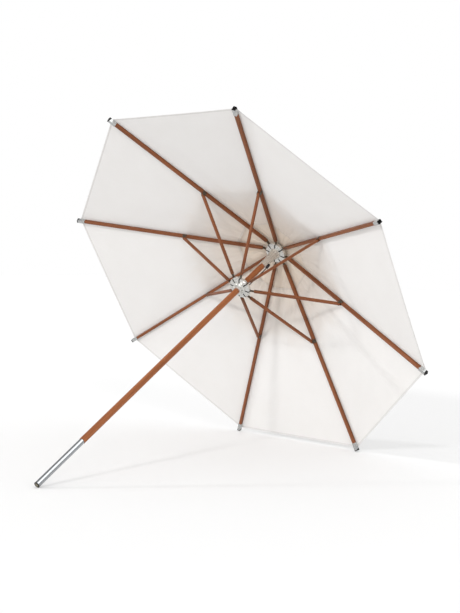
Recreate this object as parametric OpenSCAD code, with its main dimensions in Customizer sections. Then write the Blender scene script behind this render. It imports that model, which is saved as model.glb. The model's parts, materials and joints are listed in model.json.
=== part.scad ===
// Wooden market umbrella: a jointed pole foot, a crown and a sliding runner, eight folding
// ribs with their struts, and an octagonal canopy with a vent cap. Drawn open and upright.
// The origin is the centre of the pole foot's underside, and +Z runs up the pole.

/* [Overall] */
// Radius from the pole's axis to a rib's tip, with the umbrella open
span_r = 1500; // [1100:10:1800]
// Height of the rib pivots in the crown above the foot's underside
crown_z = 2627; // [2100:1:3200]
// Slope of an open rib below the horizontal, degrees
rib_slope = 20.2; // [16:0.1:25]

/* [Pole] */
// Radius of the wooden pole
pole_r = 21; // [17:0.1:28]
// Height of the steel ferrule's top above the ground
ferrule_top = 415; // [200:5:600]
// Outer radius of the steel ferrule
ferrule_r = 19; // [15:0.5:26]
// Wall of the steel ferrule
ferrule_wall = 1.5; // [1:0.1:3]
// Length of the pole's turned spigot inside the ferrule
spigot_len = 120; // [60:5:180]
// Thickness of the foot cap's rim under the ferrule
foot_rim_h = 6; // [4:1:20]
// How far the foot cap's rim stands out past the ferrule, small enough to enter a stand's tube
foot_rim_out = 0.2; // [0:0.05:0.2]
// Length of the foot cap's plug inside the ferrule
foot_plug = 30; // [15:1:60]

/* [Sleeve] */
// Height of the metal sleeve from its lower end to the crown
sleeve_len = 171; // [140:1:260]
// Wall of the sleeve round the pole
sleeve_wall = 6; // [3:0.5:10]
// Thickness of the solid web that closes the sleeve under the crown
sleeve_web = 46; // [30:1:70]
// How far the sleeve's top flares out past its lower end
sleeve_flare = 19; // [5:1:30]

/* [Hubs] */
// Outer radius of the crown and of the runner
hub_r = 83.5; // [76:0.5:110]
// Radius of the circle that the hinge pins sit on
pivot_r = 66; // [58:0.5:90]
// Half the height of the crown's and runner's slotted ring
hub_half = 16; // [12:0.5:24]
// Width of the slot that each tongue swings in
slot_w = 8; // [7:0.1:12]
// Radius at which the slots start
slot_r0 = 49; // [44:0.5:54]
// Radius of the hinge pins
hinge_r = 3; // [2:0.1:4]
// Length of a hinge pin in the crown or the runner
hinge_len = 34; // [24:1:44]
// Height of the collar under the runner
collar_h = 34; // [20:1:60]
// Outer radius of the collar under the runner
collar_r = 37; // [32:0.5:44]

/* [Ribs and struts] */
// Width of a wooden rib
rib_w = 20; // [16:0.5:26]
// Height of a wooden rib
rib_h = 26; // [20:0.1:34]
// Height of the rib's centre line above its crown pivot, square to the rib
rib_lift = 14; // [10:0.5:18]
// Width of a wooden strut
strut_w = 18; // [12:0.5:24]
// Height of a wooden strut
strut_h = 20; // [14:0.5:26]
// Distance from a rib's crown pivot to its strut pin, and from there to the runner pivot
link_len = 655; // [560:5:740]
// Distance from a hub pivot to where the wood of a rib or strut starts
wood_start = 45; // [40:1:60]
// Thickness of the steel tongue let into a rib or a strut
tongue_t = 5; // [3:0.1:6]
// Length of tongue inside the wood
tongue_in = 62; // [45:1:90]
// Radius of the rivets
rivet_r = 2.5; // [1.5:0.1:3]
// Thickness of the steel ears that carry the strut's pin
ear_t = 2; // [1.5:0.1:3]
// Length of the metal cap on a rib's tip
tip_len = 60; // [40:1:90]
// Wall of the rib's tip cap
tip_wall = 1.6; // [1:0.1:3]

/* [Hoist] */
// Direction of the hoist pulley round the pole, degrees
hoist_az = 45; // [45:45:315]
// Radius of the cord's round section
cord_r = 2; // [1.5:0.1:2.5]
// Radius of the pulley wheel's rim
sheave_r = 10.5; // [9:0.1:12]
// Width of the pulley wheel
sheave_w = 7; // [6:0.1:9]

/* [Canopy] */
// Thickness of the canopy's cloth as a solid
cloth_t = 1.2; // [0.6:0.1:2]
// Radius of the vent opening, measured along a rib
vent_r = 300; // [200:5:400]
// Radius of the vent cap's edge, measured along a rib
cap_r = 690; // [500:5:800]
// Radius at which the vent cap starts, round the finial
cap_r0 = 45; // [42:1:50]
// Height of the vent cap above the canopy, square to the cloth
cap_lift = 8; // [5:0.5:14]
// How far the cloth stops short of the rib's tip
edge_back = 14; // [6:1:30]

/* [Finial] */
// Radius of the finial's washer over the vent cap
washer_r = 52; // [50:1:60]
// Radius of the finial's knob
knob_r = 22; // [14:0.5:30]
// Height of the finial's knob above its washer
knob_h = 44; // [30:1:60]

/* [Clearances] */
// Radial clearance of a hinge pin in a bore that turns on it
hinge_gap = 0.05; // [0.02:0.01:0.1]
// Radial clearance of rivets and fixed pins in their holes
rivet_gap = 0.05; // [0.02:0.01:0.1]
// Radial clearance of the runner round the pole
runner_gap = 1.4; // [0.6:0.1:3]
// Radial clearance of the pole's spigot in the ferrule
spigot_gap = 0.1; // [0.05:0.01:0.3]
// Gap between a strut's outer end and the rib above it
swing_gap = 1; // [0.6:0.1:3]
// Smallest gap between a rib's top face and the cloth
cloth_gap = 1; // [0.4:0.1:3]
// Half the gap between the cloth of neighbouring ribs
seam_gap = 0.5; // [0.3:0.1:2]

/* [Hidden] */
$fn = 48;
N = 8;
step_az = 360 / N;
first_az = step_az / 2;
wood = [0.60, 0.33, 0.18];
steel = [0.74, 0.75, 0.76];
alloy = [0.80, 0.81, 0.82];
dark = [0.16, 0.15, 0.12];
cloth = [0.90, 0.89, 0.87];

// Linkage: the strut's pin hangs under the rib, and crown pivot to pin equals pin to runner
// pivot, so the runner's pivots stay on the same radius at every angle of the fold.
pin_drop = rib_h / 2 + swing_gap + strut_h / 2;
pin_z = rib_lift - pin_drop;
pin_x = sqrt(link_len * link_len - pin_z * pin_z);
link_slope = rib_slope + asin(-pin_z / link_len);
runner_z = crown_z - 2 * link_len * sin(link_slope);
rib_end = (span_r - pivot_r - rib_lift * sin(rib_slope)) / cos(rib_slope);
tip_x = rib_end - tip_len;
eye_r = hinge_r + 5;

// Heights of the sleeve and crown
sleeve_z1 = crown_z - hub_half;
sleeve_z0 = sleeve_z1 - sleeve_len;
sleeve_r = pole_r + sleeve_wall;
pole_top = sleeve_z1 - sleeve_web;
stud_r = 6;
stud_depth = 50;

// Canopy: a cone of flat gores through a line above the middle of each rib. Each gore falls away
// from that line by gore_fall for every unit across the rib, so the line clears a tip cap's edge.
gore_half = step_az / 2;
gore_fall = sin(rib_slope) * tan(gore_half);
rib_top = rib_lift + rib_h / 2 + cloth_gap + (rib_w / 2 + tip_wall) * gore_fall;
apex_z = crown_z + rib_top * cos(rib_slope)
    + (pivot_r + rib_top * sin(rib_slope)) * tan(rib_slope);
gore_slope = atan(tan(rib_slope) / cos(gore_half));
edge_r = span_r - edge_back;
cap_z = apex_z + cap_lift / cos(gore_slope);
washer_z = cap_z + (cloth_t + 1) / cos(gore_slope) - cap_r0 * tan(rib_slope) + 1;

// Hoist pulley, in a frame with x out from the pole at hoist_az
wall_t = 2.5;
side_gap = 0.5;
sheave_x = sleeve_r + wall_t + side_gap + sheave_w / 2 + 0.5;
sheave_z = sleeve_z0 + 32;
groove_r = sheave_r - 3.4;
cord_pitch = groove_r + cord_r + 0.2;
cord_end_z = runner_z + hub_half - 10;
block_w = 2 * sheave_r + 5;

// ---------- frames ----------

// Direction of rib i round the pole
function rib_az(i) = first_az + (i - 1) * step_az;

// Frame of rib i: x out along the rib from its crown pivot, z square to its top face
module on_rib(i) {
    rotate([0, 0, rib_az(i)])
        translate([pivot_r, 0, crown_z])
            rotate([0, rib_slope, 0])
                children();
}

// Frame of strut i: x from its runner pivot out to its pin under the rib
module on_strut(i) {
    rotate([0, 0, rib_az(i)])
        translate([pivot_r, 0, runner_z])
            rotate([0, -link_slope, 0])
                children();
}

// A round bar of length len across a rib or strut, centred at (x, z)
module cross_bar(x, z, r, len) {
    translate([x, 0, z])
        rotate([90, 0, 0])
            cylinder(r = r, h = len, center = true);
}

// A plate of thickness t whose outline is drawn in x and z, centred on y = 0
module plate(t) {
    rotate([90, 0, 0])
        linear_extrude(height = t, center = true)
            children();
}

// A rivet through something w wide, with a low head on each side
module rivet(x, z, w) {
    cross_bar(x, z, rivet_r, w + 0.2);
    for (s = [-1, 1])
        translate([x, s * (w / 2 + 0.6), z])
            rotate([90, 0, 0])
                cylinder(r = rivet_r * 1.7, h = 1, center = true);
}

// ---------- pole ----------

module pole() {
    color(wood)
        difference() {
            union() {
                translate([0, 0, ferrule_top])
                    cylinder(r = pole_r, h = pole_top - ferrule_top);
                translate([0, 0, ferrule_top - spigot_len])
                    cylinder(r = ferrule_r - ferrule_wall - spigot_gap, h = spigot_len + 1);
            }
            translate([0, 0, pole_top - stud_depth - 2])
                cylinder(r = stud_r + rivet_gap, h = stud_depth + 3);
        }
}

module ferrule() {
    color(steel)
        difference() {
            translate([0, 0, foot_rim_h])
                cylinder(r = ferrule_r, h = ferrule_top - foot_rim_h);
            translate([0, 0, foot_rim_h - 1])
                cylinder(r = ferrule_r - ferrule_wall, h = ferrule_top - foot_rim_h + 2);
        }
}

module foot_cap() {
    rim_r = ferrule_r + foot_rim_out;
    color(dark)
        difference() {
            rotate_extrude()
                polygon([
                    [0, 0], [rim_r - 1.5, 0], [rim_r, 1.5], [rim_r, foot_rim_h - 1],
                    [rim_r - 1, foot_rim_h], [ferrule_r - ferrule_wall - spigot_gap, foot_rim_h],
                    [ferrule_r - ferrule_wall - spigot_gap, foot_rim_h + foot_plug],
                    [0, foot_rim_h + foot_plug]
                ]);
            translate([0, 0, -1])
                cylinder(r = ferrule_r * 0.68, h = 2.5);
        }
}

// ---------- crown ----------

module top_sleeve() {
    color(alloy)
        difference() {
            rotate_extrude()
                polygon([
                    [stud_r + rivet_gap, sleeve_z0], [sleeve_r, sleeve_z0],
                    [sleeve_r, sleeve_z0 + sleeve_len * 0.36],
                    [sleeve_r + sleeve_flare * 0.25, sleeve_z0 + sleeve_len * 0.68],
                    [sleeve_r + sleeve_flare * 0.55, sleeve_z0 + sleeve_len * 0.88],
                    [sleeve_r + sleeve_flare, sleeve_z1], [stud_r + rivet_gap, sleeve_z1]
                ]);
            translate([0, 0, sleeve_z0 - 1])
                cylinder(r = pole_r + rivet_gap, h = pole_top - sleeve_z0 + 1);
        }
}

// Outline of a hub's ring from radius r_in out, half_h above and below its pivots
module hub_outline(r_in) {
    polygon([
        [r_in, -hub_half], [hub_r - 9, -hub_half], [hub_r - 2, -hub_half + 5],
        [hub_r, -hub_half + 9], [hub_r, hub_half - 5], [hub_r - 4, hub_half],
        [r_in, hub_half]
    ]);
}

// The slots that the tongues swing in, and the pin holes drilled in from the rim
module hub_cuts() {
    for (i = [1:N])
        rotate([0, 0, rib_az(i)]) {
            translate([slot_r0, -slot_w / 2, -hub_half - 1])
                cube([hub_r - slot_r0 + 1, slot_w, 2 * hub_half + 2]);
            translate([pivot_r, -hinge_len / 2, 0])
                rotate([-90, 0, 0])
                    cylinder(r = hinge_r + rivet_gap, h = hinge_len / 2 + hub_r);
        }
}

module hub_pins() {
    for (i = [1:N])
        rotate([0, 0, rib_az(i)])
            cross_bar(pivot_r, 0, hinge_r, hinge_len - 0.2);
}

module crown() {
    color(alloy)
        translate([0, 0, crown_z])
            difference() {
                rotate_extrude() hub_outline(stud_r + rivet_gap);
                hub_cuts();
            }
}

module crown_pins() {
    color(steel) translate([0, 0, crown_z]) hub_pins();
}

module finial() {
    z1 = washer_z + (washer_r - knob_r * 0.8) * tan(rib_slope);
    color(wood)
        rotate_extrude()
            polygon([
                [0, pole_top - stud_depth], [stud_r, pole_top - stud_depth],
                [stud_r, washer_z + (washer_r - stud_r) * tan(rib_slope) - 3],
                [washer_r, washer_z], [washer_r, washer_z + 2.5], [knob_r * 0.8, z1 + 4],
                [knob_r * 0.7, z1 + 8], [knob_r * 0.95, z1 + knob_h * 0.45],
                [knob_r, z1 + knob_h * 0.6], [knob_r * 0.9, z1 + knob_h * 0.8],
                [knob_r * 0.5, z1 + knob_h * 0.95], [0, z1 + knob_h]
            ]);
}

// ---------- runner ----------

module runner() {
    bore_r = pole_r + runner_gap;
    color(alloy)
        translate([0, 0, runner_z])
            difference() {
                union() {
                    rotate_extrude() hub_outline(bore_r);
                    rotate_extrude()
                        polygon([
                            [bore_r, -hub_half - collar_h], [collar_r - 2, -hub_half - collar_h],
                            [collar_r, -hub_half - collar_h + 2], [collar_r, -hub_half - 8],
                            [collar_r + 6, -hub_half + 1], [bore_r, -hub_half + 1]
                        ]);
                }
                hub_cuts();
                rotate([0, 0, hoist_az])
                    for (s = [-1, 1])
                        translate([sheave_x, s * cord_pitch, -hub_half - 1])
                            cylinder(r = cord_r + 1, h = 2 * hub_half + 2);
            }
}

module runner_pins() {
    color(steel) translate([0, 0, runner_z]) hub_pins();
}

// ---------- hoist ----------

module at_sheave() {
    rotate([0, 0, hoist_az])
        translate([sheave_x, 0, sheave_z])
            children();
}

// Two cheeks, a bridge over the wheel and the wheel's pin
module pulley_block() {
    cheek = sheave_w / 2 + side_gap;
    bridge_z = sheave_r + 4;
    color(dark) {
        difference() {
            at_sheave()
                union() {
                    translate([cheek, -block_w / 2, -sheave_r - 3])
                        cube([wall_t, block_w, bridge_z + sheave_r + 3]);
                    translate([-cheek - wall_t - 3, -block_w / 2, -sheave_r - 3])
                        cube([wall_t + 3, block_w, bridge_z + sheave_r + 3]);
                    translate([-cheek - wall_t, -block_w / 2, bridge_z])
                        cube([2 * cheek + 2 * wall_t, block_w, wall_t]);
                }
            translate([0, 0, sleeve_z0])
                cylinder(r = sleeve_r + 0.02, h = sleeve_len * 0.36);
            at_sheave()
                rotate([0, 90, 0])
                    cylinder(r = hinge_r - 0.5 + rivet_gap, h = 60, center = true);
        }
        at_sheave()
            translate([-cheek - wall_t + 0.3, 0, 0])
                rotate([0, 90, 0])
                    cylinder(r = hinge_r - 0.5, h = 2 * cheek + 2 * wall_t);
    }
}

module sheave() {
    color(steel)
        at_sheave()
            rotate([0, 90, 0])
                difference() {
                    rotate_extrude()
                        polygon([
                            [0, -sheave_w / 2], [sheave_r, -sheave_w / 2],
                            [groove_r, -cord_r * 0.6], [groove_r, cord_r * 0.6],
                            [sheave_r, sheave_w / 2], [0, sheave_w / 2]
                        ]);
                    cylinder(r = hinge_r - 0.5 + hinge_gap, h = sheave_w + 2, center = true);
                }
}

// The cord rises from the runner, turns over the wheel and goes down again
module hoist_cord() {
    color([0.12, 0.10, 0.12])
        rotate([0, 0, hoist_az])
            translate([sheave_x, 0, 0]) {
                translate([0, 0, sheave_z])
                    rotate([90, 0, 90])
                        rotate_extrude(angle = 180)
                            translate([cord_pitch, 0]) circle(r = cord_r);
                for (s = [-1, 1])
                    translate([0, s * cord_pitch, cord_end_z])
                        cylinder(r = cord_r, h = sheave_z - cord_end_z);
            }
}

// ---------- ribs ----------

module rib(i) {
    color(wood)
        on_rib(i)
            difference() {
                translate([wood_start, -rib_w / 2, rib_lift - rib_h / 2])
                    cube([rib_end - tip_wall - wood_start, rib_w, rib_h]);
                translate([wood_start - 1, -tongue_t / 2, rib_lift - rib_h])
                    cube([tongue_in + 1, tongue_t, 2 * rib_h]);
                for (k = [0:2])
                    cross_bar(wood_start + tongue_in * (0.2 + 0.3 * k), rib_lift,
                        rivet_r + rivet_gap, rib_w + 2);
                cross_bar(pin_x, rib_lift, rivet_r + rivet_gap, rib_w + 2);
            }
}

// Tongue outline: an eye on the pivot, rising to a bar let into the wood
module rib_tongue_outline() {
    low = rib_lift - rib_h / 2 + 2;
    high = rib_lift + rib_h / 2 - 2;
    circle(r = eye_r);
    polygon([
        [0, -eye_r], [wood_start - 8, low], [wood_start + tongue_in, low],
        [wood_start + tongue_in, high], [wood_start - 8, high], [0, eye_r]
    ]);
}

// Ear outline: an eye on the strut's pin and a tab up the side of the rib
module ear_outline() {
    translate([pin_x, pin_z]) circle(r = eye_r);
    polygon([
        [pin_x - eye_r, pin_z], [pin_x + eye_r, pin_z],
        [pin_x + 2 * eye_r, rib_lift - rib_h / 2 + 3], [pin_x + 2 * eye_r, rib_lift + 6],
        [pin_x - 2 * eye_r, rib_lift + 6], [pin_x - 2 * eye_r, rib_lift - rib_h / 2 + 3]
    ]);
}

module rib_fittings(i) {
    ear_y = (rib_w + ear_t) / 2;
    color(steel)
        on_rib(i) {
            difference() {
                plate(tongue_t) rib_tongue_outline();
                cross_bar(0, 0, hinge_r + hinge_gap, tongue_t + 2);
                for (k = [0:2])
                    cross_bar(wood_start + tongue_in * (0.2 + 0.3 * k), rib_lift,
                        rivet_r + rivet_gap, tongue_t + 2);
            }
            for (k = [0:2])
                rivet(wood_start + tongue_in * (0.2 + 0.3 * k), rib_lift, rib_w);
            for (s = [-1, 1])
                translate([0, s * ear_y, 0])
                    difference() {
                        plate(ear_t) ear_outline();
                        cross_bar(pin_x, pin_z, hinge_r + rivet_gap, ear_t + 2);
                        cross_bar(pin_x, rib_lift, rivet_r + rivet_gap, ear_t + 2);
                    }
            rivet(pin_x, rib_lift, rib_w + 2 * ear_t);
            cross_bar(pin_x, pin_z, hinge_r, rib_w + 2 * ear_t + 3);
        }
}

module rib_tip(i) {
    color(steel)
        on_rib(i)
            difference() {
                translate([tip_x, -rib_w / 2 - tip_wall, rib_lift - rib_h / 2 - tip_wall])
                    cube([tip_len, rib_w + 2 * tip_wall, rib_h + tip_wall + cloth_gap / 2]);
                translate([tip_x - 1, -rib_w / 2, rib_lift - rib_h / 2])
                    cube([tip_len + 1 - tip_wall, rib_w, rib_h]);
            }
}

// ---------- struts ----------

module strut(i) {
    color(wood)
        on_strut(i)
            difference() {
                plate(strut_w)
                    union() {
                        translate([wood_start, -strut_h / 2])
                            square([link_len - wood_start, strut_h]);
                        translate([link_len, 0]) circle(r = strut_h / 2);
                    }
                cross_bar(link_len, 0, hinge_r + hinge_gap, strut_w + 2);
                translate([wood_start - 1, -tongue_t / 2, -strut_h])
                    cube([tongue_in + 1, tongue_t, 2 * strut_h]);
                for (k = [0:2])
                    cross_bar(wood_start + tongue_in * (0.2 + 0.3 * k), 0,
                        rivet_r + rivet_gap, strut_w + 2);
            }
}

module strut_fittings(i) {
    color(steel)
        on_strut(i) {
            difference() {
                plate(tongue_t)
                    union() {
                        circle(r = eye_r);
                        translate([0, -eye_r]) square([wood_start + tongue_in, 2 * eye_r]);
                    }
                cross_bar(0, 0, hinge_r + hinge_gap, tongue_t + 2);
                for (k = [0:2])
                    cross_bar(wood_start + tongue_in * (0.2 + 0.3 * k), 0,
                        rivet_r + rivet_gap, tongue_t + 2);
            }
            for (k = [0:2])
                rivet(wood_start + tongue_in * (0.2 + 0.3 * k), 0, strut_w);
        }
}

// ---------- canopy ----------

// Half a gore between rib radii r0 and r1, on side s of its rib
module half_gore(az, s, r0, r1, z) {
    function u(r) = r * cos(gore_half) / cos(gore_slope);
    function v(r) = r * sin(gore_half) - seam_gap;
    translate([0, 0, z])
        rotate([0, 0, az + s * gore_half])
            rotate([0, gore_slope, 0])
                linear_extrude(height = cloth_t)
                    polygon([
                        [u(r0), -s * seam_gap], [u(r1), -s * seam_gap],
                        [u(r1), -s * v(r1)], [u(r0), -s * v(r0)]
                    ]);
}

module canopy_panel(i) {
    color(cloth)
        for (s = [-1, 1]) {
            half_gore(rib_az(i), s, vent_r, edge_r, apex_z);
            half_gore(rib_az(i), s, cap_r0, cap_r, cap_z);
        }
}

pole();
ferrule();
foot_cap();
top_sleeve();
crown();
crown_pins();
pulley_block();
sheave();
hoist_cord();
finial();
runner();
runner_pins();
for (i = [1:N]) {
    rib(i);
    rib_fittings(i);
    rib_tip(i);
    strut(i);
    strut_fittings(i);
    canopy_panel(i);
}
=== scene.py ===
"""An eight-rib market umbrella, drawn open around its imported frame.

The cloth is made here, as half gores that ride on their ribs, and so are the wooden ribs and
struts, with rounded edges. The pole, metal, plastic and cord keep the frame's own solids.
"""
import json
import math
import bpy
import numpy as np
from mathutils import Matrix, Vector


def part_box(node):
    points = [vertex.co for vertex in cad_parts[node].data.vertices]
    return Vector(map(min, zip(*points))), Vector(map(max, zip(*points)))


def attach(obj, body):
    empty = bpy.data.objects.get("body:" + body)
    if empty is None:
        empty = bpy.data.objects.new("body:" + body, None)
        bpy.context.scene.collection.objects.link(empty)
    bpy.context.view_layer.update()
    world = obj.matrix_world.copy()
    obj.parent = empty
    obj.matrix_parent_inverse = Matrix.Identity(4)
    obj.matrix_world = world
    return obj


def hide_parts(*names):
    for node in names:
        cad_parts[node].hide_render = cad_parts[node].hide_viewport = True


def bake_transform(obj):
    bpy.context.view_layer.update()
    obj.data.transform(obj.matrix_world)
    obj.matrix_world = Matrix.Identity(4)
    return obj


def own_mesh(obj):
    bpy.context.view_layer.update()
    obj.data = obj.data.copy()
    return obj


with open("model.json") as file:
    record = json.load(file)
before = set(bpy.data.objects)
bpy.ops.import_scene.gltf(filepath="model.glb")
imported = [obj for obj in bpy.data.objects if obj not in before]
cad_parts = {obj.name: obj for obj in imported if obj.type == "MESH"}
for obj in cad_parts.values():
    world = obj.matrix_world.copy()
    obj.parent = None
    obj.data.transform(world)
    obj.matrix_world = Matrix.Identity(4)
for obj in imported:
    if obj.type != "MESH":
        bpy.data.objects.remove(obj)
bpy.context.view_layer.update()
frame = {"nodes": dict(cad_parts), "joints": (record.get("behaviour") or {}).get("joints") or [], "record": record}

# ---------- sizes, in metres ----------
RIBS = 8
HALF_TURN = math.pi / RIBS
SPAN_R = 1.500
EDGE_BACK = 0.014
EDGE_R = SPAN_R - EDGE_BACK
VENT_R = 0.300
CAP_R = 0.690
CAP_R0 = 0.047
SHOULDER_R = 0.125
CAP_LIFT = 0.0085
CLOTH_GAP = 0.0027
CLOTH_THICK = 0.0009
HEM = 0.012
HEM_EXTRA = 0.0012
SEAM = 0.011
SEAM_EXTRA = 0.0008
STEP_RUN = 0.0013
TONGUE_IN = 0.062
TONGUE_HALF = 0.0026
EDGE_ROUND = 0.0032
END_ROUND = 0.0014
FOOT_DISC_R = 0.0129
FOOT_DISC_DEPTH = 0.0019
SLOT_HALF_W = 0.0042
SLOT_R0 = 0.049
TIP_DARK_R = 1.489
# Dark blocks of painted shade at the inner ends of the hubs' slots: radii, half width and half height
SHADE_BLOCK_R = (0.0492, 0.0570)
SHADE_BLOCK_HALF_W = 0.0039
SHADE_BLOCK_HALF_H = 0.0045

# Cloth: how deep it sags half way along the ribs and at its edges, how deep its creases are,
# and the share of its width that a closed pleat keeps
MAIN_SAG, MAIN_EDGE_SAG, MAIN_CREASE, MAIN_KEEP = 0.013, 0.004, 0.0024, 0.144
CAP_SAG, CAP_EDGE_SAG, CAP_CREASE, CAP_KEEP = 0.004, 0.002, 0.0034, 0.250
PLEAT_ANCHOR = 0.5
SHOULDER_CLAMP = 0.004
SHOULDER_FREE = 0.002
ACROSS_STOPS = 30
STOPS_PER_M = 54
FEWEST_STOPS = 8

# Canvas: thread pitch, stitches, and how far in from a fold line a stitch line runs
THREAD_PITCH = 0.0011
STITCH_LENGTH = 0.0042
STITCH_WIDTH = 0.0016
STITCH_IN = 0.003

# Bars: points to a rounded corner, the nose's rings, and how the grain shifts from bar to bar
CORNER_POINTS = 7
SQUARE_CORNER = 0.0001
NOSE_RINGS = 12
NOSE_DEG = 86
GRAIN_STEP = 2.3
STRUT_GRAIN = 1.1

# Directions of the lying umbrella's surroundings, in the upright frame: up, right and ahead
UP = np.array([0.0, -0.836, 0.549])
RIGHT = np.array([0.756, 0.359, 0.547])
AHEAD = np.array([-0.655, 0.415, 0.632])

JOINTS = {j["name"]: j for j in frame["joints"]}


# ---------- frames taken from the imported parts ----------
def node_points(node):
    """The vertices of a CAD node at rest, as an (n, 3) array."""
    mesh = frame["nodes"][node].data
    flat = np.zeros(len(mesh.vertices) * 3, np.float32)
    mesh.vertices.foreach_get("co", flat)
    return flat.reshape(-1, 3).astype(float)


class Bar:
    """The frame of a straight wooden bar: o on its hinge, x along it, y its hinge's axis, z up."""

    def __init__(self, node, joint):
        pts = node_points(node)
        self.o = np.array(JOINTS[joint]["pos_m"], float)
        self.y = np.array(JOINTS[joint]["axis"], float)
        self.x = np.cross(self.y, [0.0, 0.0, 1.0])
        for _ in range(3):
            along = pts @ self.x
            near = pts[along < along.min() + 0.001].mean(0)
            far = pts[along > along.max() - 0.001].mean(0)
            way = far - near
            way -= self.y * (way @ self.y)
            self.x = way / np.linalg.norm(way)
        self.z = np.cross(self.x, self.y)
        local = (pts - self.o) @ np.array([self.x, self.y, self.z]).T
        self.lo, self.hi = local.min(0), local.max(0)

    def at(self, x, y, z):
        """Points at local coordinates, which may be arrays of one shape."""
        x, y, z = np.broadcast_arrays(x, y, z)
        return self.o + x[..., None] * self.x + y[..., None] * self.y + z[..., None] * self.z


def around(i):
    """Rib number i counted round the pole, from 1 to RIBS."""
    return (i - 1) % RIBS + 1


RIB = {i: Bar(f"rib_{i}", f"rib_{i}_fold") for i in range(1, RIBS + 1)}
STRUT = {i: Bar(f"strut_{i}", f"strut_{i}_swing") for i in range(1, RIBS + 1)}


def rib_line(i, r, lift):
    """Points above rib i's top face by lift, where the horizontal radius is r."""
    bar = RIB[around(i)]
    z = bar.hi[2] + lift
    out = np.cross(bar.y, [0.0, 0.0, 1.0])
    start = bar.o @ out + z * (bar.z @ out)
    return bar.at((r - start) / (bar.x @ out), 0.0, z)


# ---------- meshes ----------
def make_piece(name, points, faces, uvs, sharp_deg):
    """An object from arrays: points, quads and triangles, and UV maps given per point.

    A face whose last two corners are equal is a triangle. Edges that turn by more than
    sharp_deg are sharp, and the rest are smooth.
    """
    rows = [f[:3] if f[2] == f[3] else f for f in faces.tolist()]
    mesh = bpy.data.meshes.new(name)
    mesh.from_pydata(points.tolist(), [], rows)
    corners = np.zeros(len(mesh.loops), np.int32)
    mesh.loops.foreach_get("vertex_index", corners)
    for layer_name, uv in uvs.items():
        layer = mesh.uv_layers.new(name=layer_name)
        layer.data.foreach_set("uv", uv[corners].astype(np.float32).ravel())
    mesh.polygons.foreach_set("use_smooth", np.ones(len(rows), bool))
    mesh.update()
    mesh.set_sharp_from_angle(angle=math.radians(sharp_deg))
    obj = bpy.data.objects.new(name, mesh)
    bpy.context.scene.collection.objects.link(obj)
    return obj


def sheet_mesh(name, over, under, uvs):
    """A closed thin sheet: two (nu, nv, 3) grids of points, joined round their edges."""
    nu, nv = over.shape[:2]
    points = np.concatenate([over.reshape(-1, 3), under.reshape(-1, 3)])
    k = np.arange(nu * nv).reshape(nu, nv)
    upper = np.stack([k[:-1, :-1], k[1:, :-1], k[1:, 1:], k[:-1, 1:]], -1).reshape(-1, 4)
    lower = upper[:, ::-1] + nu * nv
    ring = np.concatenate([k[:-1, 0], k[-1, :-1], k[:0:-1, -1], k[0, :0:-1]])
    after = np.roll(ring, -1)
    rim = np.stack([ring, ring + nu * nv, after + nu * nv, after], -1)
    both = {n: np.tile(uv.reshape(-1, 2), (2, 1)) for n, uv in uvs.items()}
    return make_piece(name, points, np.concatenate([upper, lower, rim]), both, 50)


def stops(low, high, count, marks=()):
    """Even stops from low to high with the marks among them, sorted."""
    every = np.concatenate([np.linspace(low, high, count), np.array(marks, float)])
    return np.unique(np.round(every, 7))


# ---------- canopy ----------
def gore_shape(gore, r, sigma, r0, r1, sag_mid, sag_edge, crease):
    """Height of the cloth off its flat gore, along the normal.

    sigma runs from -1 to 1 across the gore, and is 0 half way between its ribs. A parabola in
    sigma sags between the ribs, deepest half way along them. To it are added sine waves that
    fade outwards from the inner edge, sine waves that fan out from each of the two tips and
    fade with distance, and one long low wave.
    """
    along = np.clip((r - r0) / (r1 - r0), 0, 1)
    depth = sag_edge + (sag_mid - sag_edge) * np.sin(np.pi * along)
    span = 1 - sigma ** 2
    phase = 1.7 * gore
    inner = np.exp(-along * 3.6) * span * (
        np.sin(9.0 * sigma + 5.0 * along + phase)
        + 0.6 * np.sin(17.0 * sigma - 9.0 * along + 2.3 * phase)
        + 0.4 * np.sin(31.0 * sigma + 14.0 * along + 0.7 * phase)
    )
    fan = 0.0
    for side in (-1, 1):
        across = np.abs(sigma - side) * r * math.sin(HALF_TURN)
        back = r1 - r + 0.02
        reach = np.hypot(across, back)
        wave = np.sin(11.0 * np.arctan2(across, back) + phase + side)
        fan = fan + np.exp(-reach / 0.28) * wave * span ** 0.5
    long_wave = np.sin(6.0 * along + 2.1 * sigma + 1.3 * gore) * span
    return -depth * span + crease * (inner + 0.5 * fan + 0.3 * long_wave)


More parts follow.
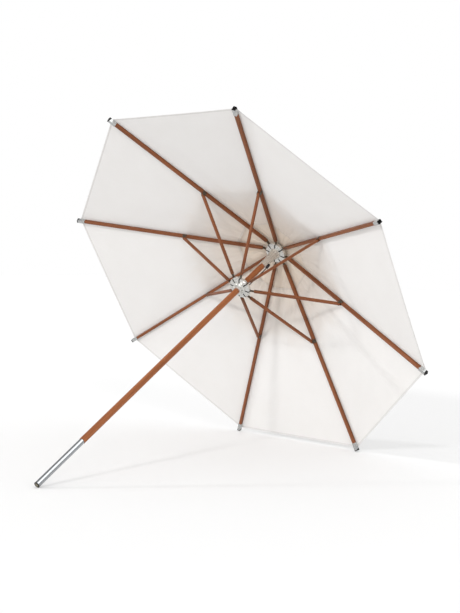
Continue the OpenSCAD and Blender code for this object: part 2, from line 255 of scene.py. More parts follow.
def half_gore(name, i, side, r0, r1, span, lift, sag_mid, sag_edge, crease, inner_hem):
    """The cloth from rib i to the middle of the gore on one side of it.

    Its flat form is the plane through the rib and its neighbour. Across the gore it starts
    with a seam of constant width over the rib and then widens with the radius. It is thicker
    in the seam and in the hems. The gore runs from radius r0 to r1, and span is the part of
    it that is made.
    """
    marks = [r1 - HEM, r1 - HEM + STEP_RUN] if span[1] == r1 else []
    if inner_hem:
        marks += [r0 + HEM, r0 + HEM - STEP_RUN]
    r = stops(*span, FEWEST_STOPS + int(STOPS_PER_M * (span[1] - span[0])), marks)[:, None]
    wide = r * math.sin(HALF_TURN)
    fixed = np.array([0.0, SEAM - STEP_RUN])[None, :] + 0 * r
    across = np.concatenate([fixed, SEAM + (wide - SEAM) * stops(0, 1, ACROSS_STOPS)[None, :]], 1)
    share = across / wide
    a = rib_line(i, r[:, 0], lift)[:, None, :]
    b = rib_line(i + side, r[:, 0], lift)[:, None, :]
    flat = a + (b - a) * 0.5 * share[..., None]
    up = np.cross(a[-1, 0] - a[0, 0], (b - a)[-1, 0])
    up *= np.sign(up[2]) / np.linalg.norm(up)
    gore = i if side > 0 else around(i - 1)
    off = gore_shape(gore, r, -side * (1 - share), r0, r1, sag_mid, sag_edge, crease)
    off = off * np.clip(across / SEAM, 0, 1)
    edge = np.broadcast_to(np.minimum(r1 - r, (r - r0) if inner_hem else 9.0), across.shape)
    thick = np.where(edge < HEM - STEP_RUN / 2, HEM_EXTRA, 0.0)
    thick = thick + np.where(across < SEAM - STEP_RUN / 2, SEAM_EXTRA, 0.0)
    under = flat + off[..., None] * up
    over = flat + (off + CLOTH_THICK + thick)[..., None] * up
    uvs = {
        "flat": np.stack([side * across, np.broadcast_to(r, across.shape)], -1),
        "edges": np.stack([across, edge], -1),
    }
    if side < 0:
        over, under = over[:, ::-1], under[:, ::-1]
        uvs = {n: uv[:, ::-1] for n, uv in uvs.items()}
    return sheet_mesh(name, over, under, uvs)


def pleat(piece, i, lift):
    """Gives a half gore a mesh of its own."""
    bar = RIB[i]
    anchor = bar.at(PLEAT_ANCHOR, 0.0, bar.hi[2] + lift)
    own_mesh(piece)


def declare_cloth(piece, i, r_in, r_out, cloth):
    """Gives a half gore its cloth."""
    ends = rib_line(i, np.array([r_in, r_out]), 0)
    piece.data.materials.append(cloth)


def canopy(cloth, cap_cloth):
    """Sixteen half gores of canopy and sixteen of vent cap.

    Each half gore of canopy and of vent cap rides on its rib. The cap's innermost part, its
    shoulder, is made as a piece of its own, not attached to a rib.
    """
    cap_lift = CLOTH_GAP + CAP_LIFT
    cap_shape = (cap_lift, CAP_SAG, CAP_EDGE_SAG, CAP_CREASE, False)
    for i in range(1, RIBS + 1):
        for side, word in ((1, "left"), (-1, "right")):
            main = half_gore(f"canopy_{i}_{word}", i, side, VENT_R, EDGE_R, (VENT_R, EDGE_R),
                             CLOTH_GAP, MAIN_SAG, MAIN_EDGE_SAG, MAIN_CREASE, True)
            cap = half_gore(f"vent_cap_{i}_{word}", i, side, CAP_R0, CAP_R, (SHOULDER_R, CAP_R),
                            *cap_shape)
            shoulder = half_gore(f"cap_shoulder_{i}_{word}", i, side, CAP_R0, CAP_R,
                                 (CAP_R0, SHOULDER_R), *cap_shape)
            for piece, r_in, r_out, lift, keep, mat in (
                (main, VENT_R, EDGE_R, CLOTH_GAP, MAIN_KEEP, cloth),
                (cap, SHOULDER_R, CAP_R, cap_lift, CAP_KEEP, cap_cloth),
            ):
                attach(piece, f"rib_{i}")
                declare_cloth(piece, i, r_in, r_out, mat)
                pleat(piece, i, lift)
            bend = np.array([CAP_R0 + SHOULDER_CLAMP, SHOULDER_R - SHOULDER_FREE])
            start, end = rib_line(i, bend, cap_lift)
            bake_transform(shoulder)
            declare_cloth(shoulder, i, CAP_R0, SHOULDER_R, cap_cloth)
            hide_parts(f"canopy_panel_{i}")


# ---------- wooden ribs and struts ----------
def outline(y0, y1, z0, z1, radii):
    """Points anticlockwise round a rectangle, each corner an arc of its own radius."""
    corners = ((y1, z1, 1, 1, 0), (y0, z1, -1, 1, 90), (y0, z0, -1, -1, 180), (y1, z0, 1, -1, 270))
    points = []
    for (y, z, sy, sz, start), r in zip(corners, radii):
        turn = np.radians(start + np.linspace(0, 90, CORNER_POINTS))
        points.append(np.stack([y - sy * r + r * np.cos(turn), z - sz * r + r * np.sin(turn)], -1))
    return np.concatenate(points)


def tube(bar, ring, x, shrink_y, shrink_z, shift):
    """A closed bar: ring, an outline in y and z, carried along x.

    At each stop in x the outline is scaled about its middle by shrink_y and shrink_z, and a
    fan closes each end. Returns points, faces and UVs of girth and length, in metres.
    """
    middle = (ring.min(0) + ring.max(0)) / 2
    y = middle[0] + (ring[:, 0] - middle[0]) * shrink_y[:, None]
    z = middle[1] + (ring[:, 1] - middle[1]) * shrink_z[:, None]
    n, m = len(ring), len(x)
    body = bar.at(x[:, None], y, z).reshape(-1, 3)
    ends = bar.at(x[[0, -1]], middle[0], middle[1])
    k = np.arange(m * n).reshape(m, n)
    after = np.roll(k, -1, axis=1)
    sides = np.stack([k[:-1], after[:-1], after[1:], k[1:]], -1).reshape(-1, 4)
    first, last = np.full(n, m * n), np.full(n, m * n + 1)
    caps = [np.stack([after[0], k[0], first, first], -1),
            np.stack([k[-1], after[-1], last, last], -1)]
    step = np.linalg.norm(np.diff(ring, axis=0), axis=1)
    girth = np.concatenate([[0.0], np.cumsum(step)])
    uv = np.stack(np.broadcast_arrays(girth[None, :], x[:, None] + shift), -1).reshape(-1, 2)
    tips = np.stack([[0.0, 0.0], x[[0, -1]] + shift], -1)
    return np.concatenate([body, ends]), np.concatenate([sides, *caps]), np.concatenate([uv, tips])


def wooden_bar(name, bar, nose, shift):
    """A rib or strut: two cheeks beside the steel tongue, then the whole rounded bar.

    With nose, the outer end is a half round about the hinge: its height falls as
    the square root of 1 - s squared, where s goes from 0 at the hinge to 1 at the tip.
    """
    (x0, y0, z0), (x1, y1, z1) = bar.lo, bar.hi
    tall, broad = (z1 - z0) / 2, (y1 - y0) / 2
    cut = x0 + TONGUE_IN
    soft_y, soft_z = 1 - END_ROUND / broad, 1 - END_ROUND / tall
    parts = []
    for ys, radii in (((TONGUE_HALF, y1), (1, 0, 0, 1)), ((y0, -TONGUE_HALF), (0, 1, 1, 0))):
        ring = outline(*ys, z0, z1, [EDGE_ROUND * r + SQUARE_CORNER for r in radii])
        parts.append(tube(bar, ring, np.array([x0, x0 + END_ROUND, cut]),
                          np.array([soft_y, 1, 1]), np.array([soft_z, 1, 1]), shift))
    ring = outline(y0, y1, z0, z1, [EDGE_ROUND] * 4)
    if nose:
        s = np.sin(np.radians(np.linspace(0, NOSE_DEG, NOSE_RINGS)))
        x = np.concatenate([[cut, (cut - tall) / 2], s * tall])
        high = np.concatenate([[1, 1], np.sqrt(1 - s ** 2)])
        parts.append(tube(bar, ring, x, np.ones(len(x)), high, shift))
    else:
        parts.append(tube(bar, ring, np.array([cut, (cut + x1) / 2, x1]), np.ones(3), np.ones(3),
                          shift))
    points, faces, uvs, count = [], [], [], 0
    for p, f, uv in parts:
        points.append(p)
        faces.append(f + count)
        uvs.append(uv)
        count += len(p)
    uv = {"grain": np.concatenate(uvs)}
    return make_piece(name, np.concatenate(points), np.concatenate(faces), uv, 38)


def woodwork(rib_wood):
    """Rounded bars in place of the eight square ribs and the eight square struts."""
    for i in range(1, RIBS + 1):
        for name, node, bar, nose, shift in (
            (f"rib_bar_{i}", f"rib_{i}", RIB[i], False, GRAIN_STEP * i),
            (f"strut_bar_{i}", f"strut_{i}", STRUT[i], True, GRAIN_STEP * i + STRUT_GRAIN),
        ):
            piece = wooden_bar(name, bar, nose, shift)
            piece.data.materials.append(rib_wood)
            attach(piece, node)
            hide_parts(node)


# ---------- painted shade: dark blocks in the hubs' slots ---
def slot_shade_blocks(name, node, middle, black):
    """Eight dark blocks of painted shade, one at the inner end of each slot of a hub, behind the bars' eyes."""
    points, faces = [], []
    for i in range(1, RIBS + 1):
        y = np.array(JOINTS[f"rib_{i}_fold"]["axis"], float)
        x = np.cross(y, [0.0, 0.0, 1.0])
        corners = np.array([[a, b, c] for a in SHADE_BLOCK_R for b in (-SHADE_BLOCK_HALF_W, SHADE_BLOCK_HALF_W)
                            for c in (-SHADE_BLOCK_HALF_H, SHADE_BLOCK_HALF_H)])
        block = corners @ np.array([x, y, [0, 0, 1]]) + [0, 0, middle]
        sides = np.array([[0, 1, 3, 2], [4, 6, 7, 5], [0, 4, 5, 1], [2, 3, 7, 6],
                          [0, 2, 6, 4], [1, 5, 7, 3]])
        if np.linalg.det(np.array([x, y, [0, 0, 1]])) < 0:
            sides = sides[:, ::-1]
        points.append(block)
        faces.append(sides + 8 * (i - 1))
    piece = make_piece(name, np.concatenate(points), np.concatenate(faces), {}, 30)
    piece.data.materials.append(black)
    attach(piece, node)
    return piece


# ---------- shader helpers ----------
class Graph:
    """Short ways to add nodes to one node tree and join them."""

    def __init__(self, tree):
        self.nodes, self.links = tree.nodes, tree.links

    def add(self, kind, inputs=(), **settings):
        """A node with its settings, and its inputs set or linked by name or number."""
        node = self.nodes.new(kind)
        for key, value in settings.items():
            setattr(node, key, value)
        for key, value in dict(inputs).items():
            self.feed(node.inputs[key], value)
        return node

    def feed(self, socket, value):
        """Links an output socket to an input, or sets the input's own value."""
        if isinstance(value, bpy.types.NodeSocket):
            self.links.new(value, socket)
        else:
            socket.default_value = value

    def math(self, operation, a, b=0.0, clamp=False):
        """The result of one sum, product or other operation."""
        node = self.add("ShaderNodeMath", {0: a, 1: b}, operation=operation, use_clamp=clamp)
        return node.outputs[0]

    def noise(self, vector, scale, detail=3.0, rough=0.5):
        """Noise from 0 to 1."""
        node = self.add("ShaderNodeTexNoise", {"Vector": vector, "Scale": scale,
                                               "Detail": detail, "Roughness": rough})
        return node.outputs["Fac"]

    def stretch(self, vector, scale, turn=(0, 0, 0)):
        """The vector turned, in radians, and scaled along each axis."""
        node = self.add("ShaderNodeMapping", {"Vector": vector, "Scale": scale,
                                              "Rotation": turn})
        return node.outputs["Vector"]

    def spread(self, value, low, high, to_low, to_high):
        """The value moved from one range to another, clamped."""
        node = self.add("ShaderNodeMapRange", {0: value, 1: low, 2: high, 3: to_low, 4: to_high})
        return node.outputs[0]

    def blend(self, share, a, b, how="MIX"):
        """Two colours mixed by share."""
        node = self.add("ShaderNodeMix", data_type="RGBA", blend_type=how)
        self.feed(node.inputs[0], share)
        self.feed(node.inputs[6], a)
        self.feed(node.inputs[7], b)
        return node.outputs[2]

    def ramp(self, share, *colours):
        """Colours spread evenly over share from 0 to 1."""
        node = self.add("ShaderNodeValToRGB", {0: share})
        band = node.color_ramp.elements
        while len(band) < len(colours):
            band.new(0.5)
        for k, colour in enumerate(colours):
            band[k].position = k / (len(colours) - 1)
            band[k].color = (*colour, 1)
        return node.outputs[0]


def new_group(name, inputs, outputs):
    """A shader node group with named sockets: (group, graph, input node, output node)."""
    group = bpy.data.node_groups.new(name, "ShaderNodeTree")
    for way, sockets in (("INPUT", inputs), ("OUTPUT", outputs)):
        for label, kind in sockets:
            group.interface.new_socket(label, in_out=way, socket_type="NodeSocket" + kind)
    graph = Graph(group)
    return group, graph, graph.add("NodeGroupInput"), graph.add("NodeGroupOutput")


def new_material(name):
    """An empty node material: (material, graph, Principled shader)."""
    mat = bpy.data.materials.new(name)
    mat.use_nodes = True
    return mat, Graph(mat.node_tree), mat.node_tree.nodes["Principled BSDF"]


def place(graph, group, **inputs):
    """A group placed in a material with its own values, spaces written as underscores."""
    node = graph.add("ShaderNodeGroup", node_tree=group)
    for key, value in inputs.items():
        graph.feed(node.inputs[key.replace("_", " ")], value)
    return node


def grain_group():
    """Straight wood grain along the vector's Y: fine streaks, pores and slow bands."""
    group, g, into, out = new_group(
        "wood grain", [("Vector", "Vector"), ("Dark", "Color"), ("Mid", "Color"),
                       ("Light", "Color")],
        [("Color", "Color"), ("Height", "Float"), ("Roughness", "Float")])
    vector = into.outputs["Vector"]
    bands = g.noise(g.stretch(vector, (60, 1.3, 60)), 1.0, 4.0, 0.55)
    streaks = g.noise(g.stretch(vector, (520, 7, 520)), 1.0, 3.0, 0.6)
    pores = g.noise(g.stretch(vector, (1900, 60, 1900)), 1.0, 1.0, 0.5)
    pore = g.spread(pores, 0.60, 0.72, 0.0, 1.0)
    tone = g.math("ADD", g.math("MULTIPLY", bands, 0.55), g.math("MULTIPLY", streaks, 0.45))
    tone = g.spread(tone, 0.34, 0.66, 0.0, 1.0)
    low = g.blend(g.math("MULTIPLY", tone, 2.0, True), into.outputs["Dark"], into.outputs["Mid"])
    high = g.blend(g.spread(tone, 0.5, 1.0, 0.0, 1.0), low, into.outputs["Light"])
    pored = g.blend(g.math("MULTIPLY", pore, 0.45), high, into.outputs["Dark"])
    g.feed(out.inputs["Color"], pored)
    g.feed(out.inputs["Height"], g.math("SUBTRACT", streaks, g.math("MULTIPLY", pore, 0.8)))
    g.feed(out.inputs["Roughness"], g.spread(tone, 0.0, 1.0, 0.62, 0.46))
    return group


def weave_group():
    """Plain-weave canvas on a flat map in metres.

    The threads' height is the product of two sines, one along each axis. Slubs are noise drawn
    out along each axis, and the cloud is slow noise.
    """
    group, g, into, out = new_group(
        "plain weave", [("Vector", "Vector"), ("Pitch", "Float")],
        [("Height", "Float"), ("Slub", "Float"), ("Cloud", "Float")])
    split = g.add("ShaderNodeSeparateXYZ", {0: into.outputs["Vector"]})
    waves = []
    for axis in (0, 1):
        turns = g.math("DIVIDE", split.outputs[axis], into.outputs["Pitch"])
        waves.append(g.math("SINE", g.math("MULTIPLY", turns, math.pi)))
    threads = g.math("MULTIPLY", waves[0], waves[1])
    warp = g.noise(g.stretch(into.outputs["Vector"], (700, 22, 1)), 1.0, 2.0)
    weft = g.noise(g.stretch(into.outputs["Vector"], (22, 700, 1)), 1.0, 2.0)
    slub = g.math("MULTIPLY", g.math("ADD", warp, weft), 0.5)
    cloud = g.noise(into.outputs["Vector"], 3.5, 4.0, 0.6)
    g.feed(out.inputs["Height"], g.math("ADD", g.math("MULTIPLY", threads, 0.5), slub))
    g.feed(out.inputs["Slub"], slub)
    g.feed(out.inputs["Cloud"], cloud)
    return group


def stitch_group():
    """A line of stitches: 1 on a thread, where Off is the distance from the line and Run the
    distance along it, both in metres."""
    group, g, into, out = new_group(
        "stitches", [("Off", "Float"), ("Run", "Float"), ("Length", "Float"),
                     ("Width", "Float")], [("Mask", "Float")])
    off = g.math("DIVIDE", g.math("ABSOLUTE", into.outputs["Off"]), into.outputs["Width"])
    line = g.spread(off, 0.35, 0.6, 1.0, 0.0)
    part = g.math("FRACT", g.math("DIVIDE", into.outputs["Run"], into.outputs["Length"]))
    dash = g.spread(g.math("ABSOLUTE", g.math("SUBTRACT", part, 0.5)), 0.3, 0.38, 1.0, 0.0)
    g.feed(out.inputs["Mask"], g.math("MULTIPLY", line, dash))
    return group


def metal_group():
    """Worked metal: drawn or brushed lines along the vector's Z, handling marks and dull spots."""
    group, g, into, out = new_group(
        "worked metal", [("Vector", "Vector"), ("Lines", "Float"), ("Bright", "Color"),
                         ("Dull", "Color"), ("Smooth", "Float"), ("Rough", "Float")],
        [("Color", "Color"), ("Height", "Float"), ("Roughness", "Float")])
    vector = into.outputs["Vector"]
    lines = g.noise(g.stretch(vector, (1500, 1500, 25)), 1.0, 2.0)
    marks = g.noise(vector, 90.0, 4.0, 0.65)
    spots = g.noise(vector, 420.0, 2.0)
    wear = g.spread(marks, 0.38, 0.66, 0.0, 1.0)
    g.feed(out.inputs["Color"], g.blend(wear, into.outputs["Bright"], into.outputs["Dull"]))
    height = g.math("ADD", g.math("MULTIPLY", lines, into.outputs["Lines"]),
                    g.math("MULTIPLY", spots, 0.35))
    g.feed(out.inputs["Height"], height)
    mixed = g.math("ADD", g.math("MULTIPLY", wear, 0.7), g.math("MULTIPLY", lines, 0.3))
    node = g.add("ShaderNodeMapRange", {0: mixed, 3: into.outputs["Smooth"],
                                        4: into.outputs["Rough"]})
    g.feed(out.inputs["Roughness"], node.outputs[0])
    return group


GRAIN, WEAVE, STITCH, METAL = grain_group(), weave_group(), stitch_group(), metal_group()


def bump(graph, shader, height, strength, distance):
    """Feeds a height to the shader's normal; distance is in metres."""
    node = graph.add("ShaderNodeBump", {"Height": height, "Strength": strength,
                                        "Distance": distance})
    graph.feed(shader.inputs["Normal"], node.outputs[0])


def object_vector(graph):
    """A point's place in its object's own frame, in metres."""
    return graph.add("ShaderNodeTexCoord").outputs["Object"]


# ---------- materials ----------
def wood(name, dark, mid, light, on_bars):
    """Oiled hardwood. On bars the grain follows their own map, and on the pole it follows Z."""
    mat, g, shader = new_material(name)
    if on_bars:
        vector = g.add("ShaderNodeUVMap", uv_map="grain").outputs[0]
    else:
        vector = g.stretch(object_vector(g), (1, 1, 1), (math.radians(90), 0, 0))
    grain = place(g, GRAIN, Vector=vector, Dark=(*dark, 1), Mid=(*mid, 1), Light=(*light, 1))
    g.feed(shader.inputs["Base Color"], grain.outputs["Color"])
    g.feed(shader.inputs["Roughness"], grain.outputs["Roughness"])
    shader.inputs["Specular IOR Level"].default_value = 0.35
    bump(g, shader, grain.outputs["Height"], 0.35, 0.0003)
    return mat


def canvas(name, base, crown_shade, crown_shade_from, crown_shade_to, through):
    """Off-white canvas that lets some light through, with painted shade towards the crown: a warmer, darker tone
    where the layered cloth lets less light through.

    The hems and seams hold more layers, and are painted a little darker for the light those layers hold back, with
    a painted line of shade along the hem's fold and a stitched line.
    """
    mat, g, shader = new_material(name)
    flat = g.add("ShaderNodeUVMap", uv_map="flat").outputs[0]
    edges = g.add("ShaderNodeUVMap", uv_map="edges").outputs[0]
    flat_xy = g.add("ShaderNodeSeparateXYZ", {0: flat})
    edge_xy = g.add("ShaderNodeSeparateXYZ", {0: edges})
    weave = place(g, WEAVE, Vector=flat, Pitch=THREAD_PITCH)
    # Painted shade: the colour turns warmer and darker towards the crown, where the layered cloth lets less light
    # through
    near = g.math("ADD", flat_xy.outputs[1],
                  g.math("MULTIPLY", g.math("SUBTRACT", weave.outputs["Cloud"], 0.5), 0.35))
    share = g.add("ShaderNodeMapRange", {0: near, 1: crown_shade_from, 2: crown_shade_to, 3: 1.0, 4: 0.0},
                  interpolation_type="SMOOTHSTEP").outputs[0]
    colour = g.blend(share, (*base, 1), (*crown_shade, 1))
    soil = g.spread(weave.outputs["Slub"], 0.35, 0.65, 0.06, 0.0)
    cloud = g.spread(weave.outputs["Cloud"], 0.3, 0.7, 0.05, 0.0)
    colour = g.blend(g.math("ADD", soil, cloud), colour, (0.55, 0.50, 0.44, 1))
    # Painted shade: hems and seams a little darker, for the light their extra layers hold back
    hem = g.spread(edge_xy.outputs[1], HEM - STEP_RUN, HEM, 1.0, 0.0)
    seam = g.spread(edge_xy.outputs[0], SEAM - STEP_RUN, SEAM, 1.0, 0.0)
    colour = g.blend(g.math("MULTIPLY", g.math("MAXIMUM", hem, seam), 0.16), colour,
                     (0.45, 0.43, 0.42, 1))
    # Painted shade: a darker line along the fold of the hem
    fold = g.spread(g.math("ABSOLUTE", g.math("SUBTRACT", edge_xy.outputs[1], HEM)),
                    0.0006, 0.0018, 0.25, 0.0)
    colour = g.blend(fold, colour, (0.42, 0.40, 0.38, 1))
    masks = []
    for off, run, where in ((1, 0, HEM - STITCH_IN), (0, 1, SEAM - STITCH_IN)):
        line = place(g, STITCH, Off=g.math("SUBTRACT", edge_xy.outputs[off], where),
                     Run=flat_xy.outputs[run], Length=STITCH_LENGTH, Width=STITCH_WIDTH)
        masks.append(line.outputs[0])
    thread = g.math("MAXIMUM", *masks)
    colour = g.blend(g.math("MULTIPLY", thread, 0.35), colour, (0.60, 0.57, 0.52, 1))
    g.feed(shader.inputs["Base Color"], colour)
    shader.inputs["Roughness"].default_value = 0.92
    shader.inputs["Specular IOR Level"].default_value = 0.15
    shader.inputs["Sheen Weight"].default_value = 0.08
    height = g.math("ADD", weave.outputs["Height"], g.math("MULTIPLY", thread, 1.2))
    bump(g, shader, height, 0.25, 0.00025)
    glow = g.add("ShaderNodeBsdfTranslucent", {"Color": colour})
    mix = g.add("ShaderNodeMixShader", {0: through, 1: shader.outputs[0], 2: glow.outputs[0]})
    g.feed(g.nodes["Material Output"].inputs["Surface"], mix.outputs[0])
    return mat


def metal(name, bright, dull, smooth, rough, lines, strength, metallic=1.0):
    """Metal with its own finish from the worked-metal group."""
    mat, g, shader = new_material(name)
    finish = place(g, METAL, Vector=object_vector(g), Lines=lines, Bright=(*bright, 1),
                   Dull=(*dull, 1), Smooth=smooth, Rough=rough)
    shader.inputs["Metallic"].default_value = metallic
    g.feed(shader.inputs["Base Color"], finish.outputs["Color"])
    g.feed(shader.inputs["Roughness"], finish.outputs["Roughness"])
    bump(g, shader, finish.outputs["Height"], strength, 0.0004)
    return mat


def darken(material, mask):
    """Makes part of a metal nearly black, where mask gives 1.

    mask takes the graph, a point's distance from its nearest rib's upright middle plane, which
    is r sin t at radius r and an angle t from the rib, and r itself.
    """
    g = Graph(material.node_tree)
    shader = g.nodes["Principled BSDF"]
    x, y, _ = g.add("ShaderNodeSeparateXYZ", {0: object_vector(g)}).outputs
    radius = g.math("SQRT", g.math("ADD", g.math("MULTIPLY", x, x), g.math("MULTIPLY", y, y)))
    angle = g.math("SUBTRACT", g.math("ARCTAN2", y, x), HALF_TURN)
    near = g.add("ShaderNodeMath", {0: angle, 1: HALF_TURN, 2: -HALF_TURN}, operation="WRAP")
    off = g.math("ABSOLUTE", g.math("MULTIPLY", g.math("SINE", near.outputs[0]), radius))
    was = shader.inputs["Base Color"].links[0].from_socket
    black = (0.012, 0.011, 0.010, 1)
    g.feed(shader.inputs["Base Color"], g.blend(mask(g, off, radius), was, black))


def slot_shade_mask(g, off, radius):
    """1 inside the hubs' slots, where the metal is painted black as painted shade."""
    inside = g.spread(off, SLOT_HALF_W, SLOT_HALF_W + 0.0004, 1.0, 0.0)
    deep = g.spread(radius, SLOT_R0 - 0.0005, SLOT_R0 - 0.0002, 0.0, 1.0)
    return g.math("MULTIPLY", inside, deep)


def past_tip(g, off, radius):
    """1 past the radius where the black ends of the ribs' tip caps begin."""
    return g.spread(radius, TIP_DARK_R, TIP_DARK_R + 0.001, 0.0, 1.0)


def moulded(name, dark, light, rough):
    """Moulded plastic with a fine texture and slow changes of tone: (material, graph, shader)."""
    mat, g, shader = new_material(name)
    vector = object_vector(g)
    tone = g.noise(vector, 60.0, 4.0, 0.6)
    g.feed(shader.inputs["Base Color"], g.ramp(tone, dark, light))
    g.feed(shader.inputs["Roughness"], g.spread(tone, 0.3, 0.7, rough - 0.08, rough + 0.1))
    bump(g, shader, g.noise(vector, 1800.0, 2.0), 0.25, 0.0002)
    return mat, g, shader


def foot_material():
    """Dark moulded cap whose sunken disc underneath is worn to a paler olive brown."""
    mat, g, shader = moulded("foot cap", (0.012, 0.011, 0.008), (0.035, 0.032, 0.024), 0.5)
    split = g.add("ShaderNodeSeparateXYZ", {0: object_vector(g)})
    x, y, z = split.outputs
    radius = g.math("SQRT", g.math("ADD", g.math("MULTIPLY", x, x), g.math("MULTIPLY", y, y)))
    inside = g.spread(radius, FOOT_DISC_R - 0.0006, FOOT_DISC_R - 0.0001, 1.0, 0.0)
    low = g.spread(z, FOOT_DISC_DEPTH, FOOT_DISC_DEPTH + 0.0002, 1.0, 0.0)
    under = shader.inputs["Base Color"].links[0].from_socket
    grit = g.ramp(g.noise(object_vector(g), 700.0, 3.0), (0.16, 0.145, 0.095), (0.30, 0.27, 0.19))
    g.feed(shader.inputs["Base Color"], g.blend(g.math("MULTIPLY", inside, low), under, grit))
    return mat


def braid(name, dark, light):
    """Braided cord: two sets of crossing slant lines round a cord that runs up and down."""
    mat, g, shader = new_material(name)
    vector = object_vector(g)
    lines = []
    for turn in (35, -35):
        wave = g.add("ShaderNodeTexWave", {"Vector": g.stretch(vector, (1, 1, 1), (
            math.radians(turn), math.radians(turn), 0)), "Scale": 170.0}, bands_direction="Z")
        lines.append(wave.outputs["Fac"])
    weave = g.math("MAXIMUM", *lines)
    g.feed(shader.inputs["Base Color"], g.ramp(weave, dark, light))
    shader.inputs["Roughness"].default_value = 0.85
    bump(g, shader, weave, 0.5, 0.0005)
    return mat


# ---------- stage ----------
# Light from all round, behind and in front, then what metals see of it, with a bright window
AMBIENT_BACK, AMBIENT_FRONT = 0.97, 0.92
SHINE_BACK, SHINE_FRONT = 0.30, 0.55
WINDOW = 0.844 * UP + 0.509 * RIGHT - 0.174 * AHEAD
WINDOW_LIGHT = 1.5
# Lamps as soft suns: degrees round from the camera's side, positive to the right, degrees up
# from the floor, strength, and how wide the lamp looks in degrees
SUNS = (
    (-32, 24, 0.80, 5),
    (-100, 22, 0.66, 4),
    (10, 24, 0.36, 14),
)


def camera():
    """The camera, aimed from a point and turned about its line of sight."""
    at = Vector((4.888, -3.321, -2.542))
    aim = Vector((-0.082, 0.114, 2.068))
    roll = math.radians(-45.53)
    ahead = (aim - at).normalized()
    side = ahead.cross(Vector((0, 0, 1))).normalized()
    upright = side.cross(ahead)
    up = upright * math.cos(roll) + side * math.sin(roll)
    right = ahead.cross(up)
    data = bpy.data.cameras.new("camera")
    data.lens = 61.7
    data.sensor_width = 36
    data.clip_end = 200
    obj = bpy.data.objects.new("camera", data)
    bpy.context.scene.collection.objects.link(obj)
    obj.matrix_world = Matrix.Translation(at) @ Matrix((right, up, -ahead)).transposed().to_4x4()
    bpy.context.scene.camera = obj


def resting_plane():
    """The plane that the umbrella lies on: it touches the foot cap and the tips of two ribs."""
    foot = node_points("foot_cap")
    tips = np.concatenate([node_points("rib_tip_2"), node_points("rib_tip_3")])
    low, high = math.radians(20), math.radians(60)
    for _ in range(60):
        mid = (low + high) / 2
        n = np.array([0.0, -math.cos(mid), math.sin(mid)])
        if (tips @ n).min() > (foot @ n).min():
            high = mid
        else:
            low = mid
    return n, (foot @ n).min()


def floor():
    """A pale floor under the lying umbrella, seen from its upper side only.

    Metal and polished wood see it darker, as a floor between studio lamps is.
    """
    n, level = resting_plane()
    size = 40.0
    x = np.array([1.0, 0.0, 0.0])
    y = np.cross(n, x)
    centre = n * level + y * 1.2
    corners = [centre + size * (a * x + b * y) for a, b in ((-1, -1), (1, -1), (1, 1), (-1, 1))]
    mesh = bpy.data.meshes.new("floor")
    mesh.from_pydata([c.tolist() for c in corners], [], [(0, 1, 2, 3)])
    obj = bpy.data.objects.new("floor", mesh)
    bpy.context.scene.collection.objects.link(obj)
    mat, g, shader = new_material("floor")
    shader.inputs["Base Color"].default_value = (0.87, 0.87, 0.87, 1)
    shader.inputs["Roughness"].default_value = 1.0
    shader.inputs["Specular IOR Level"].default_value = 0.0
    dim = g.add("ShaderNodeBsdfDiffuse", {"Color": (0.55, 0.55, 0.55, 1)})
    path = g.add("ShaderNodeLightPath")
    seen = g.add("ShaderNodeMixShader", {0: path.outputs["Is Glossy Ray"], 1: shader.outputs[0],
                                         2: dim.outputs[0]})
    clear = g.add("ShaderNodeBsdfTransparent")
    side = g.add("ShaderNodeNewGeometry")
    mix = g.add("ShaderNodeMixShader", {0: side.outputs["Backfacing"], 1: seen.outputs[0],
                                        2: clear.outputs[0]})
    g.feed(g.nodes["Material Output"].inputs["Surface"], mix.outputs[0])
    mesh.materials.append(mat)


def surroundings():
    """A white studio that metals see darker, with one bright window for them to catch."""
    scene = bpy.context.scene
    scene.view_settings.view_transform = "Standard"
    world = bpy.data.worlds.new("studio")
    scene.world = world
    world.use_nodes = True
    g = Graph(world.node_tree)
    way = g.add("ShaderNodeTexCoord").outputs["Generated"]
    path = g.add("ShaderNodeLightPath")

    def facing(direction):
        unit = direction / np.linalg.norm(direction)
        node = g.add("ShaderNodeVectorMath", {0: way, 1: unit.tolist()}, operation="DOT_PRODUCT")
        return node.outputs["Value"]

    front = g.spread(facing(-AHEAD), -1.0, 1.0, AMBIENT_BACK, AMBIENT_FRONT)
    window = g.spread(facing(WINDOW), 0.84, 0.88, 0.0, WINDOW_LIGHT)
    shine = g.math("ADD", window, g.spread(facing(-AHEAD), -0.4, 1.0, SHINE_BACK, SHINE_FRONT))
    light = g.add("ShaderNodeMix", {0: path.outputs["Is Glossy Ray"], 2: front, 3: shine})
    seen = g.add("ShaderNodeMix", {0: path.outputs["Is Camera Ray"], 2: light.outputs[0], 3: 1.0})
    g.feed(g.nodes["Background"].inputs["Strength"], seen.outputs[0])
    g.nodes["Background"].inputs["Color"].default_value = (1, 1, 1, 1)


def lamps():
    """Three low lamps: one in front to the left, one on the left and a broad one in front."""
    for k, (round_deg, up_deg, strength, width) in enumerate(SUNS):
        turn, lift = math.radians(round_deg), math.radians(up_deg)
        flat = math.sin(turn) * RIGHT - math.cos(turn) * AHEAD
        way = math.sin(lift) * UP + math.cos(lift) * flat
        sun = bpy.data.lights.new(f"sun_{k}", "SUN")
        sun.energy = strength
        sun.angle = math.radians(width)
        obj = bpy.data.objects.new(f"sun_{k}", sun)
        bpy.context.scene.collection.objects.link(obj)
        obj.rotation_euler = Vector(way).to_track_quat("Z", "Y").to_euler()


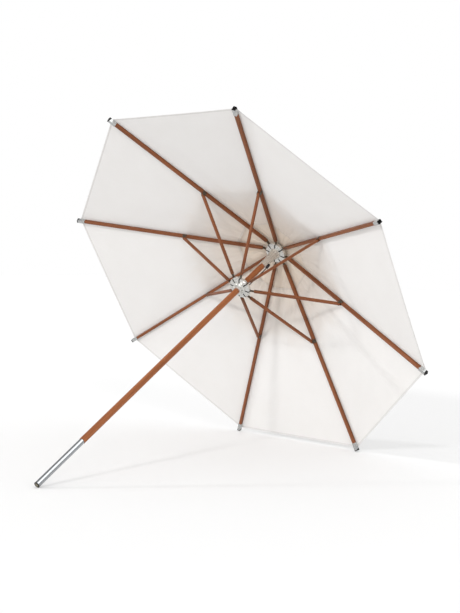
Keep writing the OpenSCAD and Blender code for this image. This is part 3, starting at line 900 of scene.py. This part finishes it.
# ---------- the umbrella ----------
camera()
floor()
surroundings()
lamps()
# Each canvas's second colour is its painted shade towards the crown, spread between the two radii after it
canopy(canvas("canvas", (0.89, 0.88, 0.87), (0.86, 0.78, 0.70), 0.25, 0.85, 0.28),
       canvas("vent cap canvas", (0.88, 0.86, 0.84), (0.83, 0.74, 0.64), 0.20, 0.60, 0.28))
woodwork(wood("rib wood", (0.125, 0.035, 0.013), (0.215, 0.068, 0.022), (0.31, 0.10, 0.038), True))

FINISHES = {
    "pole_wood": wood("pole wood", (0.18, 0.053, 0.016), (0.30, 0.094, 0.028),
                      (0.42, 0.150, 0.055), False),
    "ferrule_steel": metal("drawn steel", (0.60, 0.62, 0.64), (0.54, 0.56, 0.58),
                           0.13, 0.22, 1.0, 0.04),
    "fitting_steel": metal("satin steel", (0.17, 0.14, 0.11), (0.10, 0.08, 0.06),
                           0.22, 0.36, 0.6, 0.12),
    "pin_steel": metal("turned steel", (0.60, 0.61, 0.62), (0.45, 0.46, 0.47),
                       0.22, 0.36, 0.4, 0.10),
    "cast_alloy": metal("cast alloy", (0.88, 0.88, 0.86), (0.72, 0.71, 0.66),
                        0.18, 0.32, 0.2, 0.05, 0.8),
    "foot_cap": foot_material(),
    "black_plastic": moulded("black plastic", (0.008, 0.008, 0.009), (0.022, 0.021, 0.022),
                             0.42)[0],
    "cord": braid("braided cord", (0.008, 0.006, 0.008), (0.045, 0.035, 0.045)),
}
# Painted shade: the cast alloy is painted black inside the hubs' slots
darken(FINISHES["cast_alloy"], slot_shade_mask)
TIP_FINISH = metal("tip steel", (0.66, 0.67, 0.67), (0.56, 0.57, 0.56), 0.20, 0.32, 0.4, 0.08, 0.8)
darken(TIP_FINISH, past_tip)
for row in frame["record"]["subparts"]:
    finish = FINISHES.get(row["material_slot"])
    if row["node"].startswith("rib_tip"):
        finish = TIP_FINISH
    node = frame["nodes"][row["node"]]
    if finish:
        node.data.materials.clear()
        node.data.materials.append(finish)

# Dark blocks of painted shade deep in the crown's and the runner's slots
for name, pins, body in (("crown_slot_shade", "crown_pins", "root"),
                         ("runner_slot_shade", "runner_pins", "runner")):
    low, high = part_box(pins)
    slot_shade_blocks(name, body, (low.z + high.z) / 2, FINISHES["black_plastic"])
